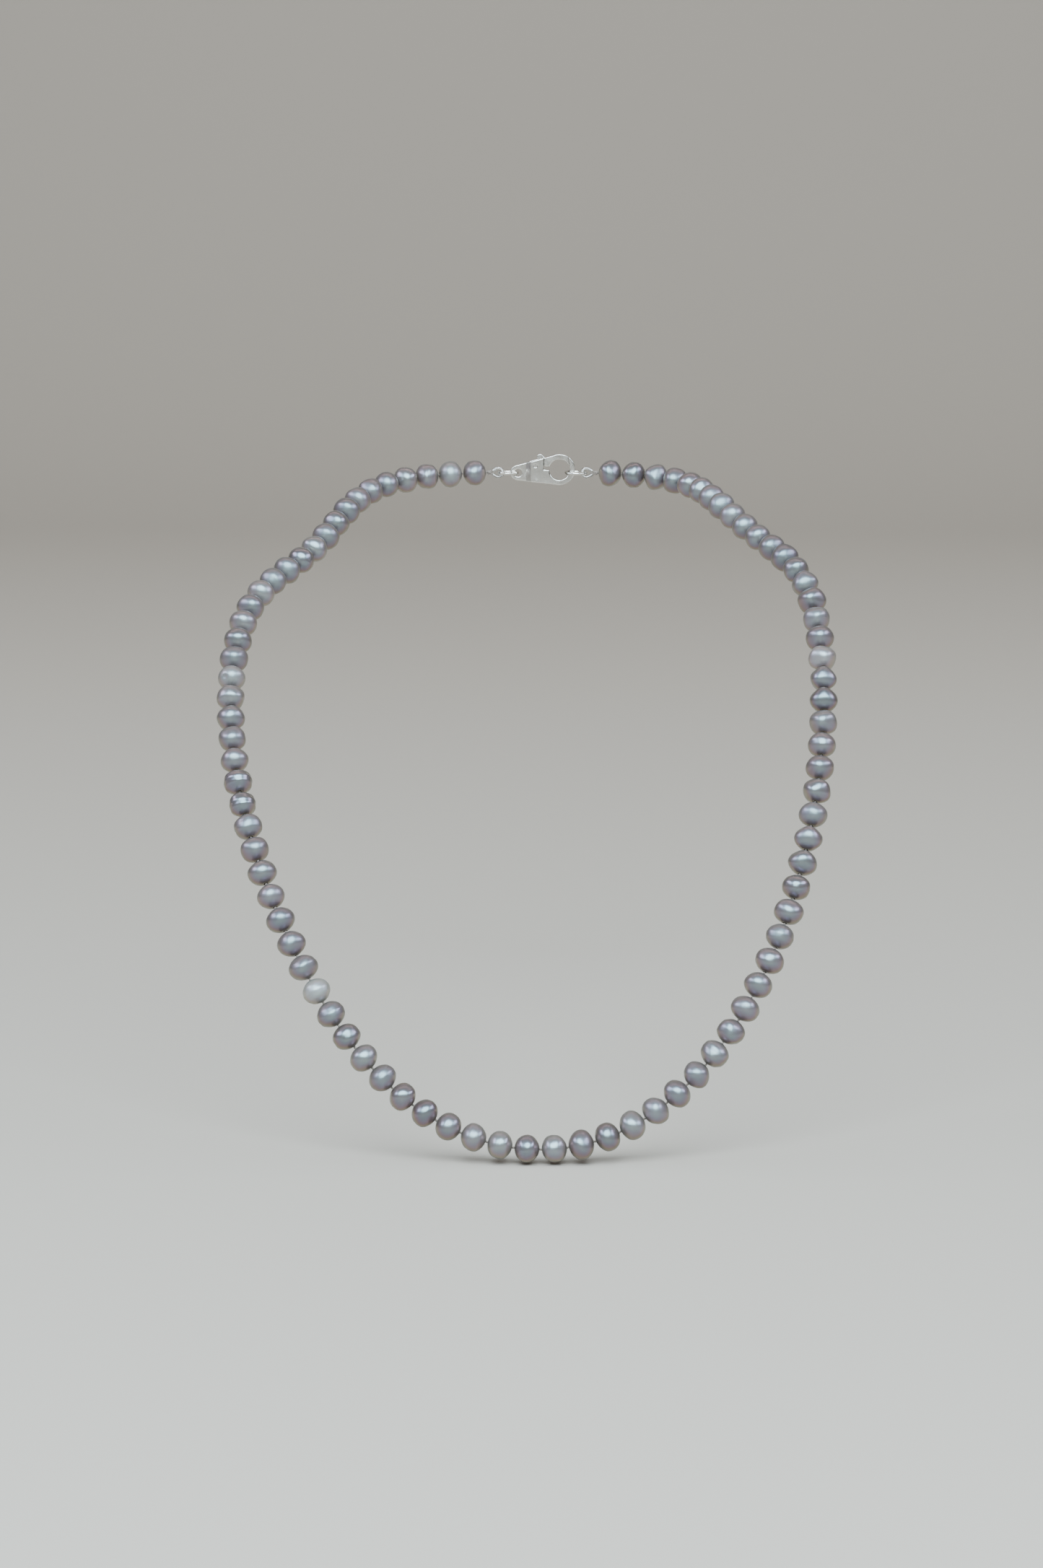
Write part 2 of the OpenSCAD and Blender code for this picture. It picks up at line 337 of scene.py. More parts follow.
LOOKS = {number: character(number) for number in PEARLS}
print("palest pearl:", max(LOOKS, key=lambda n: LOOKS[n]["tone"]))

# %% [markdown]
# ## Setting out the strand with Geometry Nodes
# One point per pearl carries that pearl's measures as attributes. The tree puts the
# pattern on each point, turns and stretches it to fit, makes the copies real, and
# then pushes the surface in and out: slow lumps, a trough round the waist, fine
# ripples, and a pit. The push fades to nothing at the drill holes, where neighbours
# nearly touch.

# %% Pearl tree
def named(tree, name, kind="FLOAT"):
    """Reads an attribute by name inside a Geometry Nodes tree."""
    reader = add(tree, "GeometryNodeInputNamedAttribute", {"data_type": kind}, {"Name": name})
    return reader.outputs["Attribute"]


TURN = 6.28319  # radians in one turn, inside a tree


def socket(tree, name, kind, start=None):
    """One named input of a tree, with the value it starts from."""
    made = tree.interface.new_socket(name, in_out="INPUT", socket_type="NodeSocket" + kind)
    if start is not None:
        made.default_value = start


def maths(tree, operation, a, b=0.0, c=0.0):
    """One arithmetic step, so that a formula can be read from top to bottom."""
    return add(tree, "ShaderNodeMath", {"operation": operation}, {0: a, 1: b, 2: c}).outputs[0]


def pearl_tree():
    """Geometry Nodes tree that turns measured points into uneven pearls."""
    tree = bpy.data.node_groups.new("strand_of_pearls", "GeometryNodeTree")
    socket(tree, "Points", "Geometry")
    socket(tree, "Pearl", "Object")
    socket(tree, "Lump height", "Float", 0.09)
    socket(tree, "Ripple height", "Float", 0.022)
    socket(tree, "Wave height", "Float", 0.05)
    socket(tree, "Trough depth", "Float", 0.035)
    socket(tree, "Nacre", "Material")
    tree.interface.new_socket("Pearls", in_out="OUTPUT", socket_type="NodeSocketGeometry")
    start = add(tree, "NodeGroupInput")
    pattern = add(tree, "GeometryNodeObjectInfo", inputs={"Object": start.outputs["Pearl"]})
    size = add(tree, "ShaderNodeCombineXYZ", inputs={
        0: named(tree, "radius"), 1: named(tree, "radius"), 2: named(tree, "half")})
    copies = add(tree, "GeometryNodeInstanceOnPoints", inputs={
        "Points": start.outputs["Points"], "Instance": pattern.outputs["Geometry"],
        "Rotation": named(tree, "turn", "FLOAT_VECTOR"), "Scale": size.outputs[0]})
    real = add(tree, "GeometryNodeRealizeInstances", inputs={"Geometry": copies.outputs[0]})
    # where we are on the unit pearl, moved by the seed so that each pearl differs
    rest = named(tree, "rest", "FLOAT_VECTOR")
    seed = named(tree, "seed")
    offset = add(tree, "ShaderNodeCombineXYZ", inputs={0: seed, 1: seed, 2: seed})
    spot = add(tree, "ShaderNodeVectorMath", {"operation": "ADD"}, {0: rest, 1: offset.outputs[0]})
    split = add(tree, "ShaderNodeSeparateXYZ", inputs={0: rest})
    height = split.outputs[2]
    lump = add(tree, "ShaderNodeTexNoise", inputs={
        "Vector": spot.outputs[0], "Scale": 0.9, "Detail": 0.0})
    ripple = add(tree, "ShaderNodeTexNoise", inputs={
        "Vector": spot.outputs[0], "Scale": 2.3, "Detail": 1.0})

    def do(operation, *values):
        return maths(tree, operation, *values)

    def depth(own, name):
        """A tree input times the pearl's own share of it."""
        return do("MULTIPLY", named(tree, own), start.outputs[name])

    # lumps only press in, so that no pearl grows past its measured size
    slow = do("SUBTRACT", lump.outputs["Fac"], 0.72)
    slow = do("MULTIPLY", slow, depth("lumps", "Lump height"))
    quick = do("SUBTRACT", ripple.outputs["Fac"], 0.6)
    quick = do("MULTIPLY", quick, start.outputs["Ripple height"])
    square = do("MULTIPLY", height, height)
    waist = do("POWER", 2.718, do("MULTIPLY", square, -9.0))
    waist = do("MULTIPLY", waist, depth("trough", "Trough depth"))
    # three slow waves round the pearl, opposite above and below its waist
    around = do("ARCTAN2", split.outputs[1], split.outputs[0])
    wave = do("SINE", do("MULTIPLY_ADD", around, 3.0, seed))
    wave = do("MULTIPLY", wave, do("MULTIPLY", height, do("SUBTRACT", 1.0, square)))
    wave = do("MULTIPLY", wave, depth("wave", "Wave height"))
    # growth rings: a few shallow steps that run round the drill hole
    rings = do("MULTIPLY", do("COSINE", do("MULTIPLY", height, 13.0)), named(tree, "rings"))
    wave = do("ADD", wave, do("MULTIPLY", rings, 0.011))
    # the pit is a small round dent on the side that faces out
    away = add(tree, "ShaderNodeVectorMath", {"operation": "DISTANCE"}, {
        0: rest, 1: named(tree, "pit_at", "FLOAT_VECTOR")})
    dent = do("SUBTRACT", 1.0, do("MULTIPLY", away.outputs["Value"], 3.6))
    dent = do("MULTIPLY", do("MAXIMUM", dent, 0.0), do("MULTIPLY", named(tree, "pit"), 0.13))
    push = do("SUBTRACT", do("ADD", do("ADD", slow, quick), wave), do("ADD", waist, dent))
    fade = do("SUBTRACT", 1.0, do("POWER", do("ABSOLUTE", height), 6.0))
    push = do("MULTIPLY", do("MULTIPLY", push, fade), named(tree, "radius"))
    normal = add(tree, "GeometryNodeInputNormal")
    way = add(tree, "ShaderNodeVectorMath", {"operation": "SCALE"}, {
        0: normal.outputs[0], "Scale": push})
    moved = add(tree, "GeometryNodeSetPosition", inputs={
        "Geometry": real.outputs[0], "Offset": way.outputs[0]})
    smooth = add(tree, "GeometryNodeSetShadeSmooth", inputs={"Geometry": moved.outputs[0]})
    dressed = add(tree, "GeometryNodeSetMaterial", inputs={
        "Geometry": smooth.outputs[0], "Material": start.outputs["Nacre"]})
    add(tree, "NodeGroupOutput", inputs={"Pearls": dressed.outputs[0]})
    return tree


PEARL_TREE = pearl_tree()
print("pearl tree:", len(PEARL_TREE.nodes), "nodes")

# %% [markdown]
# ## From a tree to a plain mesh
# A modifier's inputs are set by each socket's identifier before the object is first
# evaluated. The result is copied to a plain mesh, and the helper object goes away, so
# that nothing live is left on a finished piece.

# %% Run a tree and keep its mesh
def grow(name, mesh, tree, **values):
    """Runs a Geometry Nodes tree on a mesh and returns a finished plain object."""
    helper = bpy.data.objects.new(name + "_helper", mesh)
    bpy.context.collection.objects.link(helper)
    modifier = helper.modifiers.new("grow", "NODES")
    modifier.node_group = tree
    for item in tree.interface.items_tree:
        if item.item_type == "SOCKET" and item.in_out == "INPUT" and item.name in values:
            modifier[item.identifier] = values[item.name]
    graph = bpy.context.evaluated_depsgraph_get()
    graph.update()
    result = bpy.data.meshes.new_from_object(
        helper.evaluated_get(graph), preserve_all_data_layers=True, depsgraph=graph)
    bpy.data.objects.remove(helper)
    result.name = name
    piece = bpy.data.objects.new(name, result)
    bpy.context.collection.objects.link(piece)
    return piece


# %% [markdown]
# ## Stringing the pearls
# One mesh is made for each group of pearls, because a group moves as one body.
# Each pearl's local X is turned away from the wearer, so that a pit or a flat can be
# put where it is seen.

# %% Make every group of pearls
def outward_turn(pearl):
    """Rotation that lays Z along the drill line and X away from the wearer."""
    z = pearl["axis"].normalized()
    away = Vector((pearl["centre"].x, pearl["centre"].y - 0.01, 0.02))
    x = (away - z * away.dot(z)).normalized()
    y = z.cross(x)
    return Matrix((x, y, z)).transposed().to_euler()


def points_mesh(name, numbers):
    """One vertex per pearl, with the pearl's measures and look as attributes."""
    mesh = bpy.data.meshes.new(name + "_points")
    mesh.from_pydata([PEARLS[n]["centre"][:] for n in numbers], [], [])
    turns = [outward_turn(PEARLS[n]) for n in numbers]
    facing = Vector((-0.45, -0.87, 0.2)).normalized()
    pits = [turn.to_matrix().transposed() @ facing for turn in turns]
    for key, vectors in (("turn", turns), ("pit_at", pits)):
        layer = mesh.attributes.new(key, "FLOAT_VECTOR", "POINT")
        layer.data.foreach_set("vector", [v for vector in vectors for v in vector])
    for key in ("radius", "half", "seed", "tone", "tint", "polish",
                "lumps", "trough", "wave", "rings", "pit"):
        layer = mesh.attributes.new(key, "FLOAT", "POINT")
        source = PEARLS if key in ("radius", "half") else LOOKS
        layer.data.foreach_set("value", [source[n][key] for n in numbers])
    return mesh


BODIES = frame["record"]["behaviour"]["bodies"]
BODY_OF = {node: body for body, nodes in BODIES.items() for node in nodes}
bpy.context.collection.objects.link(PATTERN)
faces = 0
for node in sorted({p["node"] for p in PEARLS.values()}):
    numbers = sorted(n for n in PEARLS if PEARLS[n]["node"] == node)
    piece = grow(node + "_nacre", points_mesh(node, numbers), PEARL_TREE, Pearl=PATTERN, Nacre=NACRE)
    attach(piece, BODY_OF[node])
    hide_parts(node)
    faces += len(piece.data.polygons)
bpy.data.objects.remove(PATTERN)
print("nacre faces:", faces)

# %% [markdown]
# ## Silver, steel and silk finishes
# Sterling silver is a pale, slightly warm metal. Handling leaves it with fine hairline
# scratches and a thin uneven film, so its roughness wanders. The coiled wire is drawn
# through a die, which leaves lines along it. Silk is a bundle of glossy fibres: dull
# face on, with a soft sheen along the edges.

# %% Metal and silk materials
def metal(name, code, dull, rough_low, rough_high, scratch):
    """A metal whose roughness wanders and which has hairline scratches."""
    mat = bpy.data.materials.new(name)
    mat.use_nodes = True
    tree = mat.node_tree
    tree.nodes.clear()
    place = add(tree, "ShaderNodeTexCoord")
    film = add(tree, "ShaderNodeTexNoise", inputs={
        "Vector": place.outputs["Object"], "Scale": 700.0, "Detail": 3.0})
    rough = add(tree, "ShaderNodeMapRange", inputs={
        "Value": film.outputs["Fac"], "From Min": 0.3, "From Max": 0.7,
        "To Min": rough_low, "To Max": rough_high})
    colour = add(tree, "ShaderNodeMix", {"data_type": "RGBA"},
                 {0: film.outputs["Fac"], 6: paint(code), 7: paint(dull)})
    stretch = add(tree, "ShaderNodeMapping", inputs={
        "Vector": place.outputs["Object"], "Rotation": (0.3, 0.5, 0.9), "Scale": (1.0, 14.0, 9.0)})
    lines = add(tree, "ShaderNodeTexNoise", inputs={
        "Vector": stretch.outputs[0], "Scale": 900.0, "Detail": 4.0, "Roughness": 0.7})
    bump = add(tree, "ShaderNodeBump", inputs={
        "Strength": scratch, "Distance": 0.00001, "Height": lines.outputs["Fac"]})
    skin = add(tree, "ShaderNodeBsdfPrincipled", inputs={
        "Base Color": colour.outputs[2], "Roughness": rough.outputs[0],
        "Normal": bump.outputs["Normal"], "Metallic": 1.0})
    add(tree, "ShaderNodeOutputMaterial", inputs={"Surface": skin.outputs["BSDF"]})
    return mat


def silk_material():
    """Twisted silk: fine fibres, a dull face and a soft sheen."""
    mat = bpy.data.materials.new("silk_thread")
    mat.use_nodes = True
    tree = mat.node_tree
    tree.nodes.clear()
    place = add(tree, "ShaderNodeTexCoord")
    fibre = add(tree, "ShaderNodeTexNoise", inputs={
        "Vector": place.outputs["Object"], "Scale": 9000.0, "Detail": 3.0})
    colour = add(tree, "ShaderNodeMix", {"data_type": "RGBA"},
                 {0: fibre.outputs["Fac"], 6: paint("#5A5048"), 7: paint("#8F857A")})
    bump = add(tree, "ShaderNodeBump", inputs={
        "Strength": 0.5, "Distance": 0.00002, "Height": fibre.outputs["Fac"]})
    skin = add(tree, "ShaderNodeBsdfPrincipled", inputs={
        "Base Color": colour.outputs[2], "Roughness": 0.6, "Normal": bump.outputs["Normal"],
        "Sheen Weight": 0.5, "Sheen Roughness": 0.4})
    add(tree, "ShaderNodeOutputMaterial", inputs={"Surface": skin.outputs["BSDF"]})
    return mat


SILVER = metal("sterling_silver_cast", "#E6E3DD", "#C9C5BE", 0.14, 0.30, 0.25)
WIRE = metal("silver_wire_drawn", "#DEDCD8", "#BDBAB5", 0.2, 0.34, 0.2)
STEEL = metal("spring_steel", "#B4B4B2", "#9A9997", 0.26, 0.4, 0.2)
SILK = silk_material()
print("materials:", [m.name for m in (SILVER, WIRE, STEEL, SILK)])

# %% [markdown]
# ## The clasp's own frame
# The clasp lies along a straight line between the two ends of the strand. The
# hinges of its two rings give that line: each sits in the middle of its ring and
# turns about the line. Distances along it are counted from the left end, in mm.

# %% Clasp frame
RINGS = {j["name"]: j for j in frame["joints"]}
HERE = Vector(RINGS["jump_ring_twist"]["pos_m"])
ALONG = Vector(RINGS["jump_ring_twist"]["axis"]).normalized()
if ALONG.x < 0:
    ALONG = -ALONG
JUMP_U, RING_U, SPAN = 4.26, 18.018, 22.458  # middles of the two rings, whole length
KNOT_U, SPRING_U = 0.38, 10.958  # middle of the left knot, middle of the lever's spring
LEFT_END = HERE - ALONG * JUMP_U * MM
ACROSS = Vector((0, 0, 1)).cross(ALONG).normalized()
RISE = ALONG.cross(ACROSS).normalized()


def at_clasp(u, v, w):
    """A place in the clasp's frame, in mm, turned into the shared frame in metres."""
    return LEFT_END + (ALONG * u + ACROSS * v + RISE * w) * MM


print("left end of the strand:", [round(v, 4) for v in LEFT_END])

# %% [markdown]
# ## Silk
# The thread is three fine yarns twisted together. A tree lays three small circles
# along the thread's line and turns them steadily, one turn every 1.1 mm. At each end
# the thread is tied in a knot beside the last pearl and goes on round a small loop.

# %% Twisted thread tree
def thread_tree():
    """Geometry Nodes tree that turns lines into three twisted yarns."""
    tree = bpy.data.node_groups.new("twisted_thread", "GeometryNodeTree")
    socket(tree, "Line", "Geometry")
    socket(tree, "Yarn radius", "Float", 0.000125)
    socket(tree, "Yarn offset", "Float", 0.000118)
    socket(tree, "Step", "Float", 0.00016)
    socket(tree, "Turns per metre", "Float", 900.0)
    socket(tree, "Silk", "Material")
    tree.interface.new_socket("Thread", in_out="OUTPUT", socket_type="NodeSocketGeometry")
    start = add(tree, "NodeGroupInput")
    line = add(tree, "GeometryNodeMeshToCurve", inputs={"Mesh": start.outputs["Line"]})
    fine = add(tree, "GeometryNodeResampleCurve", {"mode": "LENGTH"}, {
        "Curve": line.outputs[0], "Length": start.outputs["Step"]})
    gone = add(tree, "GeometryNodeSplineParameter")
    angle = maths(tree, "MULTIPLY", gone.outputs["Length"],
                  maths(tree, "MULTIPLY", start.outputs["Turns per metre"], TURN))
    twisted = add(tree, "GeometryNodeSetCurveTilt", inputs={"Curve": fine.outputs[0], "Tilt": angle})
    sized = add(tree, "GeometryNodeSetCurveRadius", inputs={
        "Curve": twisted.outputs[0], "Radius": named(tree, "thick")})
    ring = add(tree, "GeometryNodeCurvePrimitiveCircle", inputs={
        "Resolution": 7, "Radius": start.outputs["Yarn radius"]})
    yarns = add(tree, "GeometryNodeJoinGeometry")
    for turn in range(3):
        around = 2 * math.pi * turn / 3
        out_x = maths(tree, "MULTIPLY", start.outputs["Yarn offset"], math.cos(around))
        out_y = maths(tree, "MULTIPLY", start.outputs["Yarn offset"], math.sin(around))
        shift = add(tree, "ShaderNodeCombineXYZ", inputs={0: out_x, 1: out_y})
        yarn = add(tree, "GeometryNodeTransform", inputs={
            "Geometry": ring.outputs[0], "Translation": shift.outputs[0]})
        tree.links.new(yarn.outputs[0], yarns.inputs[0])
    swept = add(tree, "GeometryNodeCurveToMesh", inputs={
        "Curve": sized.outputs[0], "Profile Curve": yarns.outputs[0], "Fill Caps": True})
    real = add(tree, "GeometryNodeRealizeInstances", inputs={"Geometry": swept.outputs[0]})
    smooth = add(tree, "GeometryNodeSetShadeSmooth", inputs={"Geometry": real.outputs[0]})
    dressed = add(tree, "GeometryNodeSetMaterial", inputs={
        "Geometry": smooth.outputs[0], "Material": start.outputs["Silk"]})
    add(tree, "NodeGroupOutput", inputs={"Thread": dressed.outputs[0]})
    return tree


THREAD_TREE = thread_tree()
print("thread tree:", len(THREAD_TREE.nodes), "nodes")

# %% Lines of the thread
def lines_mesh(name, lines):
    """A mesh of open or closed lines; each line is (points, thickness, closed)."""
    verts, edges, thick = [], [], []
    for points, size, closed in lines:
        first = len(verts)
        verts += [tuple(p) for p in points]
        thick += [size] * len(points)
        edges += [(first + i, first + i + 1) for i in range(len(points) - 1)]
        if closed:
            edges.append((first + len(points) - 1, first))
    mesh = bpy.data.meshes.new(name)
    mesh.from_pydata(verts, edges, [])
    mesh.attributes.new("thick", "FLOAT", "POINT").data.foreach_set("value", thick)
    return mesh


def strand_line(numbers):
    """The thread's line through a run of pearls, out to the middle of the gap at each end."""
    def gap(n, m):
        return (PEARLS[n]["centre"] + PEARLS[m]["centre"]) / 2 if m in PEARLS else None
    line = [gap(numbers[0], numbers[0] - 1)]
    for n in numbers:
        pearl = PEARLS[n]
        half = pearl["axis"] * pearl["half"] * 0.9
        line += [pearl["centre"] - half, pearl["centre"] + half]
    line.append(gap(numbers[-1], numbers[-1] + 1))
    # the silk stops just short of the gap's middle, so two stretches never press together
    for end, inner in ((0, 1), (-1, -2)):
        if line[end] is not None:
            line[end] = line[end] + (line[inner] - line[end]).normalized() * 0.06 * MM
    return [p for p in line if p is not None]


def loop_line(end):
    """The end loop, seen in the clasp's frame; end is "left" or "right"."""
    start, radius, reach = 0.6, 0.9, 3.22
    centre = reach - radius
    opening = math.acos(radius / (centre - start))
    arc = [math.pi - opening - i * (2 * math.pi - 2 * opening) / 28 for i in range(29)]
    bow = [(centre + radius * math.cos(a), radius * math.sin(a)) for a in arc]
    shape = [(start, 0.0)] + bow + [(start, 0.0)]
    flat = [(u, 0, w) if end == "left" else (SPAN - u, 0, w) for u, w in shape]
    return [at_clasp(*p) for p in flat]


def knot_place(end):
    """The middle of the knot beside the last pearl on the left or the right."""
    return at_clasp(KNOT_U if end == "left" else SPAN - KNOT_U, 0, 0)


def knot_line(end):
    """A small overhand knot drawn tight, as a closed trefoil line."""
    centre = knot_place(end)
    line = []
    for i in range(36):
        t = 2 * math.pi * i / 36
        a = math.sin(t) + 2 * math.sin(2 * t)
        b = math.cos(t) - 2 * math.cos(2 * t)
        c = -math.sin(3 * t)
        line.append(centre + (ACROSS * a + RISE * b + ALONG * c * 1.6) * 0.09 * MM)
    return line


groups = {}
for number in sorted(PEARLS):
    node = PEARLS[number]["node"]
    thread = {"pearls_front": "thread_front", "pearls_nape_left": "thread_nape_left",
              "pearls_nape_right": "thread_nape_right"}.get(node, "thread_" + node.rsplit("_", 1)[1])
    groups.setdefault(thread, {}).setdefault(node, []).append(number)
faces = 0
for thread, runs in groups.items():
    lines = [(strand_line(sorted(numbers)), 1.0, False) for numbers in runs.values()]
    if "nape" in thread:
        end = thread.rsplit("_", 1)[1]
        lines[0][0].insert(0 if end == "left" else len(lines[0][0]), knot_place(end))
        lines += [(loop_line(end), 0.78, False), (knot_line(end), 0.72, True)]
    piece = grow(thread + "_silk", lines_mesh(thread + "_line", lines), THREAD_TREE, Silk=SILK)
    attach(piece, BODY_OF[thread])
    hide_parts(thread)
    faces += len(piece.data.polygons)
print("silk faces:", faces)

# %% [markdown]
# ## Wire sleeves
# A sleeve of fine coiled wire keeps the silk from wearing on the rings. The tree
# walks along the loop and pushes each point out sideways on a turning arm, which
# makes a coil, then gives the coil the thickness of the wire.

# %% Coil tree
def coil_tree():
    """Geometry Nodes tree that winds a wire round a line."""
    tree = bpy.data.node_groups.new("coiled_wire", "GeometryNodeTree")
    socket(tree, "Line", "Geometry")
    socket(tree, "Coil radius", "Float", 0.00031)
    socket(tree, "Wire radius", "Float", 0.00007)
    socket(tree, "Turns per metre", "Float", 6800.0)
    socket(tree, "Silver", "Material")
    tree.interface.new_socket("Coil", in_out="OUTPUT", socket_type="NodeSocketGeometry")
    start = add(tree, "NodeGroupInput")
    line = add(tree, "GeometryNodeMeshToCurve", inputs={"Mesh": start.outputs["Line"]})
    fine = add(tree, "GeometryNodeResampleCurve", {"mode": "LENGTH"}, {
        "Curve": line.outputs[0], "Length": 0.0000105})
    gone = add(tree, "GeometryNodeSplineParameter")
    angle = maths(tree, "MULTIPLY", gone.outputs["Length"],
                  maths(tree, "MULTIPLY", start.outputs["Turns per metre"], TURN))
    normal = add(tree, "GeometryNodeInputNormal")
    tangent = add(tree, "GeometryNodeInputTangent")
    side = add(tree, "ShaderNodeVectorMath", {"operation": "CROSS_PRODUCT"},
               {0: tangent.outputs[0], 1: normal.outputs[0]})
    arms = []
    for way, wheel in ((normal, "COSINE"), (side, "SINE")):
        reach = maths(tree, "MULTIPLY", maths(tree, wheel, angle), start.outputs["Coil radius"])
        arms.append(add(tree, "ShaderNodeVectorMath", {"operation": "SCALE"}, {
            0: way.outputs[0], "Scale": reach}))
    arm = add(tree, "ShaderNodeVectorMath", {"operation": "ADD"}, {
        0: arms[0].outputs[0], 1: arms[1].outputs[0]})
    wound = add(tree, "GeometryNodeSetPosition", inputs={
        "Geometry": fine.outputs[0], "Offset": arm.outputs[0]})
    ring = add(tree, "GeometryNodeCurvePrimitiveCircle", inputs={
        "Resolution": 6, "Radius": start.outputs["Wire radius"]})
    swept = add(tree, "GeometryNodeCurveToMesh", inputs={
        "Curve": wound.outputs[0], "Profile Curve": ring.outputs[0], "Fill Caps": True})
    real = add(tree, "GeometryNodeRealizeInstances", inputs={"Geometry": swept.outputs[0]})
    smooth = add(tree, "GeometryNodeSetShadeSmooth", inputs={"Geometry": real.outputs[0]})
    dressed = add(tree, "GeometryNodeSetMaterial", inputs={
        "Geometry": smooth.outputs[0], "Material": start.outputs["Silver"]})
    add(tree, "NodeGroupOutput", inputs={"Coil": dressed.outputs[0]})
    return tree


COIL_TREE = coil_tree()
for end in ("left", "right"):
    line = loop_line(end)
    line[0] = line[0].lerp(line[1], 0.45)
    line[-1] = line[-1].lerp(line[-2], 0.45)
    source = lines_mesh("gimp_line", [(line, 1.0, False)])
    piece = grow("gimp_%s_coil" % end, source, COIL_TREE, Silver=WIRE)
    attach(piece, BODY_OF["gimp_" + end])
    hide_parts("gimp_" + end)
    print(piece.name, len(piece.data.polygons), "faces")

# %% [markdown]
# ## Rings
# Each ring is a turn of round wire. The small jump ring has a closed cut where its
# ends meet. The ring in the claw is soldered shut and polished, so it shows none.

# %% Two silver rings
def round_wire(name, rows, columns, place, finish, closed):
    """A round wire: place(i, angle) is the point of row i at that angle round the wire."""
    verts = [tuple(place(i, 2 * math.pi * c / columns)) for i in range(rows + 1) for c in range(columns)]
    faces = []
    for i in range(rows):
        for c in range(columns):
            a, b = i * columns + c, i * columns + (c + 1) % columns
            faces.append((a, a + columns, b + columns, b))
    if not closed:
        faces.append(tuple(range(columns)))
        faces.append(tuple(rows * columns + c for c in reversed(range(columns))))
    mesh = bpy.data.meshes.new(name)
    mesh.from_pydata(verts, [], faces)
    mesh.materials.append(finish)
    piece = bpy.data.objects.new(name, mesh)
    bpy.context.collection.objects.link(piece)
    tidy = bmesh.new()
    tidy.from_mesh(mesh)
    if closed:
        bmesh.ops.remove_doubles(tidy, verts=tidy.verts, dist=1e-8)
    bmesh.ops.recalc_face_normals(tidy, faces=tidy.faces)
    tidy.to_mesh(mesh)
    tidy.free()
    mesh.shade_smooth()
    return piece


def ring_piece(node, u, radius, wire, cut):
    """A ring of round wire round the point u on the clasp's line; cut is half its gap."""
    rows, columns = 96, 20

    def place(i, b):
        a = math.radians(60) + cut + (2 * math.pi - 2 * cut) * i / rows
        r = radius + wire / 2 * math.cos(b)
        return at_clasp(u + r * math.cos(a), r * math.sin(a), wire / 2 * math.sin(b))

    piece = round_wire(node + "_ring", rows, columns, place, SILVER, closed=not cut)
    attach(piece, BODY_OF[node])
    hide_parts(node)
    return piece


# the held ring is a little slimmer and nearer the claw, so that it twists clear of it
for piece in (ring_piece("clasp_jump_ring", JUMP_U, 1.85, 0.7, 0.012),
              ring_piece("end_ring", RING_U - 0.03, 2.0, 0.64, 0.0)):
    print(piece.name, len(piece.data.polygons), "faces")

# %% [markdown]
# ## Clasp
# The claw and its lever are castings, so every edge is a little soft. A copy of each
# model mesh is merged, rebuilt as an even grid of 0.05 or 0.06 mm cells and smoothed a
# few times, which rounds the edges the way tumbling does.

# %% Soft-edged castings
def casting(node, cell, rounds):
    """A soft-edged copy of a model node."""
    work = bmesh.new()
    work.from_mesh(frame["nodes"][node].data)
    bmesh.ops.remove_doubles(work, verts=work.verts, dist=1e-7)
    mesh = bpy.data.meshes.new(node + "_raw")
    work.to_mesh(mesh)
    work.free()
    helper = bpy.data.objects.new(node + "_helper", mesh)
    bpy.context.collection.objects.link(helper)
    grid = helper.modifiers.new("grid", "REMESH")
    grid.mode = "VOXEL"
    grid.voxel_size = cell * MM
    soft = helper.modifiers.new("soft", "SMOOTH")
    soft.factor, soft.iterations = 0.5, rounds
    graph = bpy.context.evaluated_depsgraph_get()
    graph.update()
    result = bpy.data.meshes.new_from_object(helper.evaluated_get(graph), depsgraph=graph)
    bpy.data.objects.remove(helper)
    result.materials.clear()
    result.materials.append(SILVER)
    result.shade_smooth()
    piece = bpy.data.objects.new(node + "_cast", result)
    bpy.context.collection.objects.link(piece)
    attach(piece, BODY_OF[node])
    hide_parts(node)
    return piece


for piece in (casting("clasp_body", 0.06, 5), casting("clasp_lever", 0.05, 5)):
    print(piece.name, len(piece.data.polygons), "faces")

# %% [markdown]
# The lever's spring is two turns of round wire under the lever's root. Its foot
# stands on the floor of the slot.

# %% Lever spring
def spring_piece():
    """A short coil that stands in the slot under the lever's root."""
    coil, wire, foot, tall = 0.35, 0.17, 0.31, 0.57
    turns, steps, columns = 2.1, 84, 12

    def place(i, b):
        a = 2 * math.pi * turns * i / steps
        r = coil + wire / 2 * math.cos(b)
        w = foot + wire / 2 + (tall - wire) * i / steps + wire / 2 * math.sin(b)
        return at_clasp(SPRING_U + r * math.cos(a), r * math.sin(a), w)

    piece = round_wire("lever_spring_coil", steps, columns, place, STEEL, closed=False)
    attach(piece, BODY_OF["lever_spring"])
    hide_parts("lever_spring")
    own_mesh(piece)
    return piece


print(spring_piece().name, "shortens with the lever")

# %% The pin keeps its model mesh
pin = frame["nodes"]["lever_pin"].data
pin.materials.clear()
pin.materials.append(SILVER)
print("lever_pin ->", SILVER.name)

# %% [markdown]
# ## Floor and light
# A pale floor that sweeps up behind, and soft studio light. One oval soft box, high in
# front, draws the highlight on each pearl. Two weaker ones fill the sides, and a warm
# wash lights the backdrop.

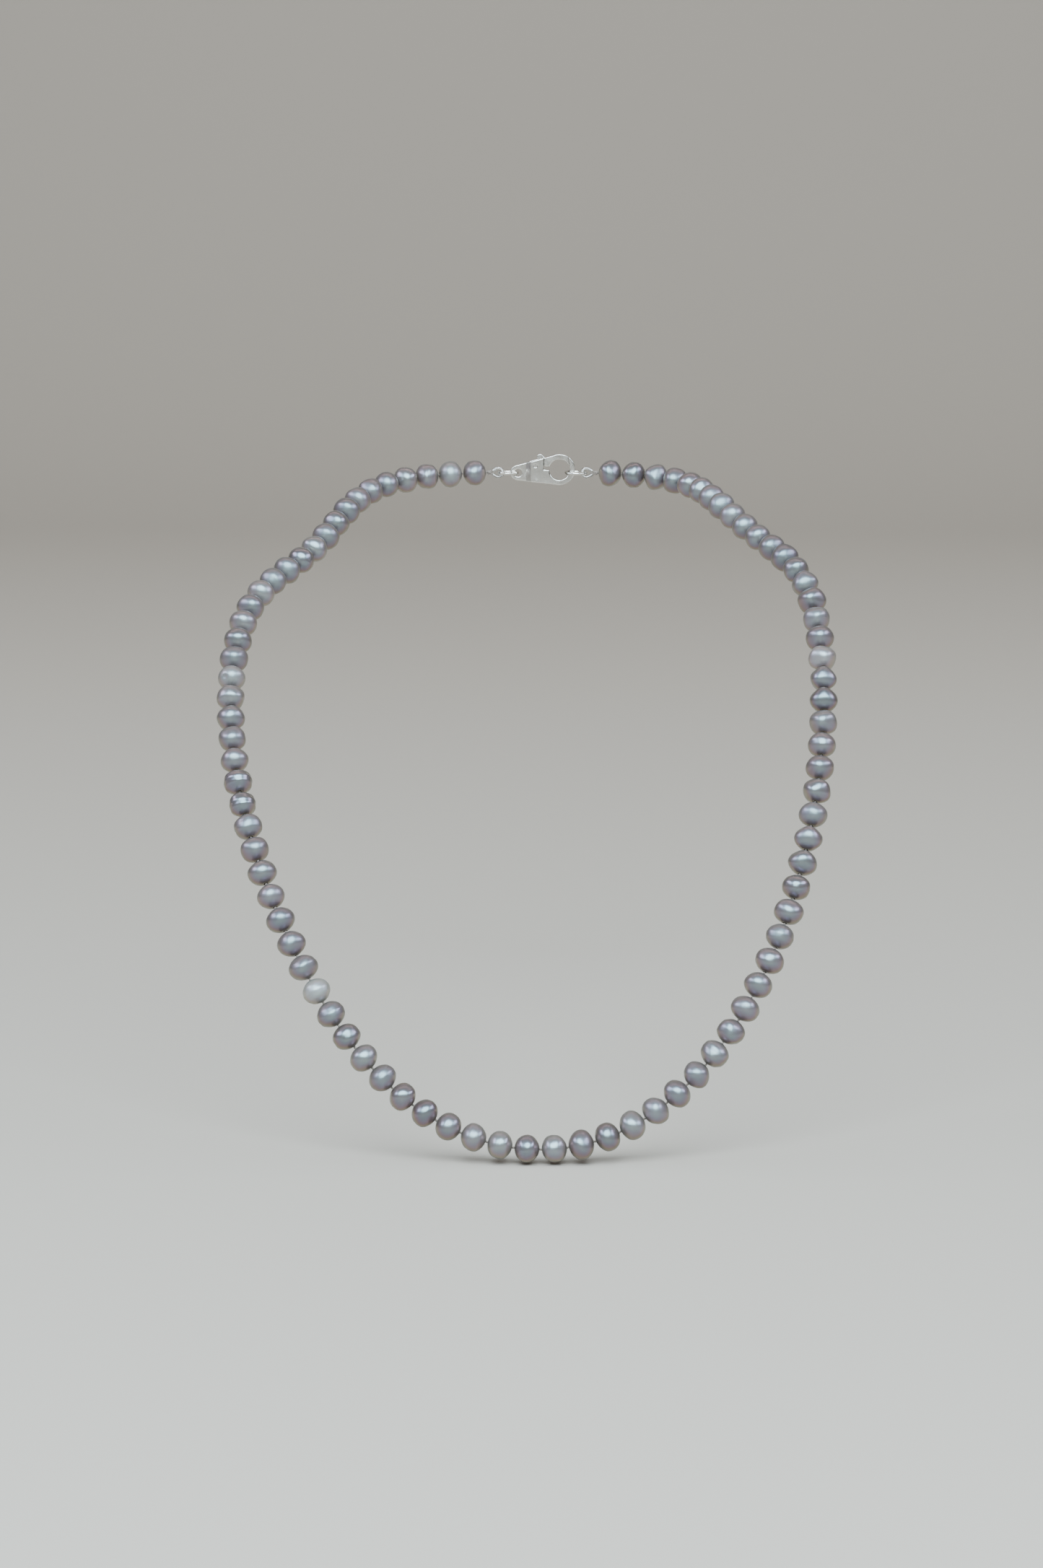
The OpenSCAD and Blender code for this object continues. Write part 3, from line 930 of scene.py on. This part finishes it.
# %% Floor, sweep and soft boxes
def paper():
    """Plain pale matt paper."""
    mat = bpy.data.materials.new("paper_sweep")
    mat.use_nodes = True
    shader = mat.node_tree.nodes["Principled BSDF"]
    shader.inputs["Base Color"].default_value = paint("#A39B91")
    shader.inputs["Roughness"].default_value = 0.9
    return mat


def sweep():
    """Pale floor that curves up into a backdrop."""
    low = CAD_BOX[0][2] - 0.0004
    rows = [(-7.0, low), (0.9, low)]
    for i in range(1, 13):
        angle = math.pi / 2 * i / 12
        rows.append((0.9 + 0.5 * math.sin(angle), low + 0.5 * (1 - math.cos(angle))))
    rows.append((1.4, low + 2.2))
    verts = [(x, y, z) for y, z in rows for x in (-7.0, 7.0)]
    mesh = bpy.data.meshes.new("sweep")
    mesh.from_pydata(verts, [], [
        (2 * i, 2 * i + 1, 2 * i + 3, 2 * i + 2) for i in range(len(rows) - 1)])
    mesh.shade_smooth()
    floor = bpy.data.objects.new("sweep", mesh)
    bpy.context.collection.objects.link(floor)
    floor.data.materials.append(paper())
    return floor


def soft_box(name, place, target, width, height, power, code="#FFFFFF"):
    """An oval soft light that faces the target."""
    light = bpy.data.lights.new(name, "AREA")
    light.shape = "ELLIPSE"
    light.size, light.size_y, light.energy = width, height, power
    light.color = paint(code)[:3]
    box = bpy.data.objects.new(name, light)
    box.location = place
    box.rotation_euler = (Vector(target) - Vector(place)).to_track_quat("-Z", "Y").to_euler()
    bpy.context.collection.objects.link(box)
    return box


sweep()
middle = (0, -0.03, -0.05)
soft_box("skylight", (0.0, -0.70, 0.56), middle, 1.05, 0.72, 31, "#E2F3FF")
soft_box("skylight_left", (-0.88, -0.30, 0.56), middle, 1.0, 0.42, 10, "#E2F3FF")
soft_box("skylight_right", (0.88, -0.30, 0.56), middle, 1.0, 0.42, 10, "#E2F3FF")
soft_box("backdrop_wash", (0.0, 0.30, 0.80), (0.0, 1.2, 0.2), 1.8, 0.4, 7, "#FFF4E8")
world = bpy.data.worlds.new("room")
bpy.context.scene.world = world
world.use_nodes = True
world.node_tree.nodes["Background"].inputs["Color"].default_value = paint("#8E8A86")
world.node_tree.nodes["Background"].inputs["Strength"].default_value = 0.13
